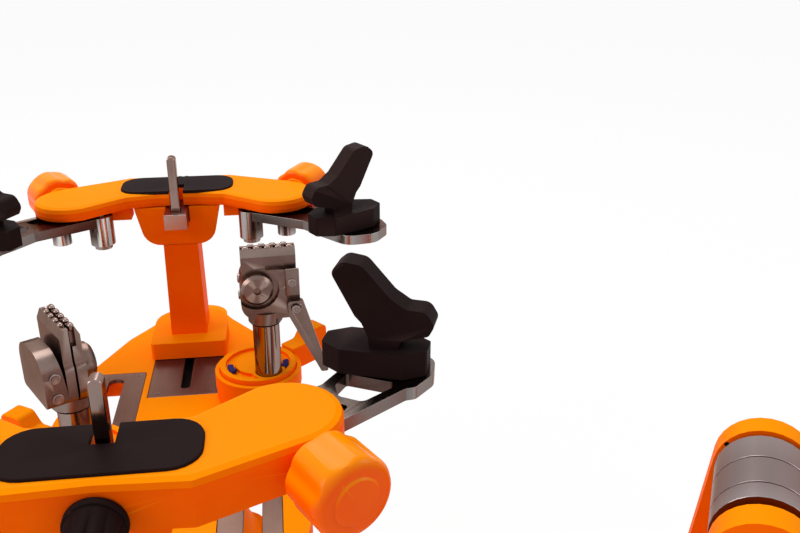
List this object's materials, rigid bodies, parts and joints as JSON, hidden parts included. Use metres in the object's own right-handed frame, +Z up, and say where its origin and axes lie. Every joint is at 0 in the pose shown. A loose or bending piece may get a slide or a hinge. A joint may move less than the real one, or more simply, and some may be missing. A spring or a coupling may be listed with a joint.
{
  "type": "racket stringing machine",
  "caption": "Bench racket stringing machine with an orange cast turntable, two towers with swivelling racket supports, string clamps and a drop weight tension head on a track",
  "frame": {"origin": "on the table under the turntable axis, in the lower face of the pedestal pad", "axes": "+X along the track to the tension head, +Z up, +Y to the rear"},
  "size_m": [0.7604, 0.4482, 0.3347],
  "materials": {
    "orange_paint": "gloss",
    "black_plastic": "satin",
    "chrome": "polished",
    "steel": "brushed",
    "rubber": "matte"
  },
  "bodies": {
    "base": {"pedestal": "orange_paint", "pedestal_pad": "rubber", "track_beam": "steel", "end_stand": "orange_paint", "end_stand_pad": "rubber", "bearing_ring": "steel"},
    "turntable": {"turntable_deck": "orange_paint", "left_slot_plate": "steel", "right_slot_plate": "steel", "rear_guide_plate": "steel", "front_guide_plate": "steel", "turntable_spindle": "steel"},
    "front_tower": {"front_tower_column": "orange_paint", "front_crossbar": "orange_paint", "front_crossbar_pad": "black_plastic", "front_arm_pin_a": "steel", "front_arm_pin_b": "steel"},
    "front_slider": {"front_slider_block": "chrome", "front_support_rod": "chrome"},
    "front_knob": {"front_centre_knob": "black_plastic"},
    "front_end_knob_a": {"front_end_knob_a": "orange_paint"},
    "front_arm_a": {"front_side_arm_a": "chrome"},
    "front_support_a": {"front_swivel_support_a": "black_plastic"},
    "front_end_knob_b": {"front_end_knob_b": "orange_paint"},
    "front_arm_b": {"front_side_arm_b": "chrome"},
    "front_support_b": {"front_swivel_support_b": "black_plastic"},
    "rear_tower": {"rear_tower_column": "orange_paint", "rear_crossbar": "orange_paint", "rear_crossbar_pad": "black_plastic", "rear_arm_pin_a": "steel", "rear_arm_pin_b": "steel"},
    "rear_slider": {"rear_slider_block": "chrome", "rear_support_rod": "chrome"},
    "rear_knob": {"rear_centre_knob": "black_plastic"},
    "rear_end_knob_a": {"rear_end_knob_a": "orange_paint"},
    "rear_arm_a": {"rear_side_arm_a": "chrome"},
    "rear_support_a": {"rear_swivel_support_a": "black_plastic"},
    "rear_end_knob_b": {"rear_end_knob_b": "orange_paint"},
    "rear_arm_b": {"rear_side_arm_b": "chrome"},
    "rear_support_b": {"rear_swivel_support_b": "black_plastic"},
    "left_clamp_slide": {"left_clamp_shoe": "steel"},
    "left_clamp_foot": {"left_clamp_base": "orange_paint"},
    "left_clamp_lock": {"left_clamp_lock_lever": "orange_paint"},
    "left_clamp_pillar": {"left_clamp_post": "chrome"},
    "left_clamp_head": {"left_clamp_body": "chrome"},
    "left_clamp_moving_jaw": {"left_clamp_jaw": "chrome"},
    "left_clamp_grip": {"left_clamp_handle": "chrome"},
    "right_clamp_slide": {"right_clamp_shoe": "steel"},
    "right_clamp_foot": {"right_clamp_base": "orange_paint"},
    "right_clamp_lock": {"right_clamp_lock_lever": "orange_paint"},
    "right_clamp_pillar": {"right_clamp_post": "chrome"},
    "right_clamp_head": {"right_clamp_body": "chrome"},
    "right_clamp_moving_jaw": {"right_clamp_jaw": "chrome"},
    "right_clamp_grip": {"right_clamp_handle": "chrome"},
    "tension_carriage": {"head_frame": "orange_paint", "drum_axle": "steel"},
    "drum_arm": {"tension_drum": "chrome", "weight_rod": "chrome"},
    "drop_weight": {"sliding_weight": "steel"},
    "gripper_jaw": {"gripper_plate": "steel"}
  },
  "joints": [
    {"name": "turntable_spin", "type": "hinge", "parent": "base", "child": "turntable", "pos_m": [0, 0, 0.15], "axis": [0, 0, 1], "continuous": true},
    {"name": "front_tower_slide", "type": "slide", "parent": "turntable", "child": "front_tower", "axis": [-0.4787, 0.878, 0], "range_m": [-0.02, 0.02]},
    {"name": "front_knob_turn", "type": "hinge", "parent": "front_tower", "child": "front_knob", "pos_m": [0.09574, -0.1756, 0.273], "axis": [-0.4787, 0.878, 0], "range_deg": [0, 720]},
    {"name": "front_slider_travel", "type": "slide", "parent": "front_tower", "child": "front_slider", "axis": [-0.4787, 0.878, 0], "range_m": [-0.0006, 0.0182]},
    {"name": "front_end_knob_a_turn", "type": "hinge", "parent": "front_tower", "child": "front_end_knob_a", "pos_m": [0.15657, -0.11156, 0.278], "axis": [0.8348, -0.5505, 0], "range_deg": [-540, 540]},
    {"name": "front_arm_a_swing", "type": "hinge", "parent": "front_tower", "child": "front_arm_a", "pos_m": [0.11407, -0.09954, 0.276], "axis": [0, 0, 1], "range_deg": [-5, 5]},
    {"name": "front_support_a_swivel", "type": "hinge", "parent": "front_arm_a", "child": "front_support_a", "pos_m": [0.14962, -0.02893, 0.285], "axis": [0, 0, 1], "continuous": true},
    {"name": "front_end_knob_b_turn", "type": "hinge", "parent": "front_tower", "child": "front_end_knob_b", "pos_m": [0.00895, -0.19204, 0.278], "axis": [0.0105, -0.9999, 0], "range_deg": [-540, 540]},
    {"name": "front_arm_b_swing", "type": "hinge", "parent": "front_tower", "child": "front_arm_b", "pos_m": [0.02188, -0.1498, 0.276], "axis": [0, 0, 1], "range_deg": [-5, 5]},
    {"name": "front_support_b_swivel", "type": "hinge", "parent": "front_arm_b", "child": "front_support_b", "pos_m": [-0.05673, -0.14144, 0.285], "axis": [0, 0, 1], "continuous": true},
    {"name": "rear_tower_slide", "type": "slide", "parent": "turntable", "child": "rear_tower", "axis": [0.4787, -0.878, 0], "range_m": [-0.02, 0.02]},
    {"name": "rear_knob_turn", "type": "hinge", "parent": "rear_tower", "child": "rear_knob", "pos_m": [-0.09574, 0.1756, 0.273], "axis": [0.4787, -0.878, 0], "range_deg": [-720, 0]},
    {"name": "rear_slider_travel", "type": "slide", "parent": "rear_tower", "child": "rear_slider", "axis": [0.4787, -0.878, 0], "range_m": [-0.0182, 0.0006]},
    {"name": "rear_end_knob_a_turn", "type": "hinge", "parent": "rear_tower", "child": "rear_end_knob_a", "pos_m": [-0.15657, 0.11156, 0.278], "axis": [-0.8348, 0.5505, 0], "range_deg": [-540, 540]},
    {"name": "rear_arm_a_swing", "type": "hinge", "parent": "rear_tower", "child": "rear_arm_a", "pos_m": [-0.11407, 0.09954, 0.276], "axis": [0, 0, 1], "range_deg": [-5, 5]},
    {"name": "rear_support_a_swivel", "type": "hinge", "parent": "rear_arm_a", "child": "rear_support_a", "pos_m": [-0.14962, 0.02893, 0.285], "axis": [0, 0, 1], "continuous": true},
    {"name": "rear_end_knob_b_turn", "type": "hinge", "parent": "rear_tower", "child": "rear_end_knob_b", "pos_m": [-0.00895, 0.19204, 0.278], "axis": [-0.0105, 0.9999, 0], "range_deg": [-540, 540]},
    {"name": "rear_arm_b_swing", "type": "hinge", "parent": "rear_tower", "child": "rear_arm_b", "pos_m": [-0.02188, 0.1498, 0.276], "axis": [0, 0, 1], "range_deg": [-5, 5]},
    {"name": "rear_support_b_swivel", "type": "hinge", "parent": "rear_arm_b", "child": "rear_support_b", "pos_m": [0.05673, 0.14144, 0.285], "axis": [0, 0, 1], "continuous": true},
    {"name": "left_clamp_slide_along", "type": "slide", "parent": "turntable", "child": "left_clamp_slide", "axis": [-0.4787, 0.878, 0], "range_m": [-0.084, 0.084]},
    {"name": "left_clamp_base_turn", "type": "hinge", "parent": "left_clamp_slide", "child": "left_clamp_foot", "pos_m": [-0.04285, -0.02587, 0.165], "axis": [0, 0, 1], "range_deg": [-20, 20]},
    {"name": "left_clamp_lever_turn", "type": "hinge", "parent": "left_clamp_foot", "child": "left_clamp_lock", "pos_m": [-0.03902, -0.03112, 0.175], "axis": [0, 0, 1], "range_deg": [-20, 20]},
    {"name": "left_clamp_post_lift", "type": "slide", "parent": "left_clamp_foot", "child": "left_clamp_pillar", "axis": [0, 0, 1], "range_m": [0, 0.008]},
    {"name": "left_clamp_head_turn", "type": "hinge", "parent": "left_clamp_pillar", "child": "left_clamp_head", "pos_m": [-0.03024, -0.04316, 0.222], "axis": [0, 0, 1], "range_deg": [-25, 25]},
    {"name": "left_clamp_handle_turn", "type": "hinge", "parent": "left_clamp_head", "child": "left_clamp_grip", "pos_m": [-0.04098, -0.02294, 0.2388], "axis": [0.506, 0.8625, 0], "range_deg": [-1.5, 43]},
    {"name": "left_clamp_jaw_open", "type": "slide", "parent": "left_clamp_head", "child": "left_clamp_moving_jaw", "axis": [-0.506, -0.8625, 0], "range_m": [0, 0.002]},
    {"name": "right_clamp_slide_along", "type": "slide", "parent": "turntable", "child": "right_clamp_slide", "axis": [-0.4787, 0.878, 0], "range_m": [-0.15, 0]},
    {"name": "right_clamp_base_turn", "type": "hinge", "parent": "right_clamp_slide", "child": "right_clamp_foot", "pos_m": [0.00197, 0.10085, 0.165], "axis": [0, 0, 1], "range_deg": [-20, 20]},
    {"name": "right_clamp_lever_turn", "type": "hinge", "parent": "right_clamp_foot", "child": "right_clamp_lock", "pos_m": [0.00751, 0.09746, 0.175], "axis": [0, 0, 1], "range_deg": [-20, 20]},
    {"name": "right_clamp_post_lift", "type": "slide", "parent": "right_clamp_foot", "child": "right_clamp_pillar", "axis": [0, 0, 1], "range_m": [0, 0.008]},
    {"name": "right_clamp_head_turn", "type": "hinge", "parent": "right_clamp_pillar", "child": "right_clamp_head", "pos_m": [0.02023, 0.0897, 0.222], "axis": [0, 0, 1], "range_deg": [-25, 25]},
    {"name": "right_clamp_handle_turn", "type": "hinge", "parent": "right_clamp_head", "child": "right_clamp_grip", "pos_m": [0.04312, 0.09009, 0.2388], "axis": [0.5388, -0.8425, 0], "range_deg": [-1.5, 43]},
    {"name": "right_clamp_jaw_open", "type": "slide", "parent": "right_clamp_head", "child": "right_clamp_moving_jaw", "axis": [-0.5388, 0.8425, 0], "range_m": [0, 0.002]},
    {"name": "head_slide", "type": "slide", "parent": "base", "child": "tension_carriage", "axis": [1, 0, 0], "range_m": [-0.05, 0.015]},
    {"name": "drum_turn", "type": "hinge", "parent": "tension_carriage", "child": "drum_arm", "pos_m": [0.335, 0, 0.226], "axis": [0, 1, 0], "range_deg": [-55, 25]},
    {"name": "weight_slide", "type": "slide", "parent": "drum_arm", "child": "drop_weight", "axis": [1, 0, 0], "range_m": [-0.1, 0.03]},
    {"name": "gripper_lift", "type": "slide", "parent": "drum_arm", "child": "gripper_jaw", "axis": [0, 0, 1], "range_m": [0, 0.003]}
  ],
  "couplings": [
    {"joint": "front_slider_travel", "follows": "front_knob_turn", "m_per_rad": 0.0013528},
    {"joint": "front_arm_a_swing", "follows": "front_end_knob_a_turn", "ratio": 0.008333},
    {"joint": "front_arm_b_swing", "follows": "front_end_knob_b_turn", "ratio": -0.008333},
    {"joint": "rear_slider_travel", "follows": "rear_knob_turn", "m_per_rad": 0.0013528},
    {"joint": "rear_arm_a_swing", "follows": "rear_end_knob_a_turn", "ratio": 0.008333},
    {"joint": "rear_arm_b_swing", "follows": "rear_end_knob_b_turn", "ratio": -0.008333},
    {"joint": "left_clamp_handle_turn", "follows": "left_clamp_jaw_open", "rad_per_m": 349.07},
    {"joint": "right_clamp_handle_turn", "follows": "right_clamp_jaw_open", "rad_per_m": 349.07}
  ]
}
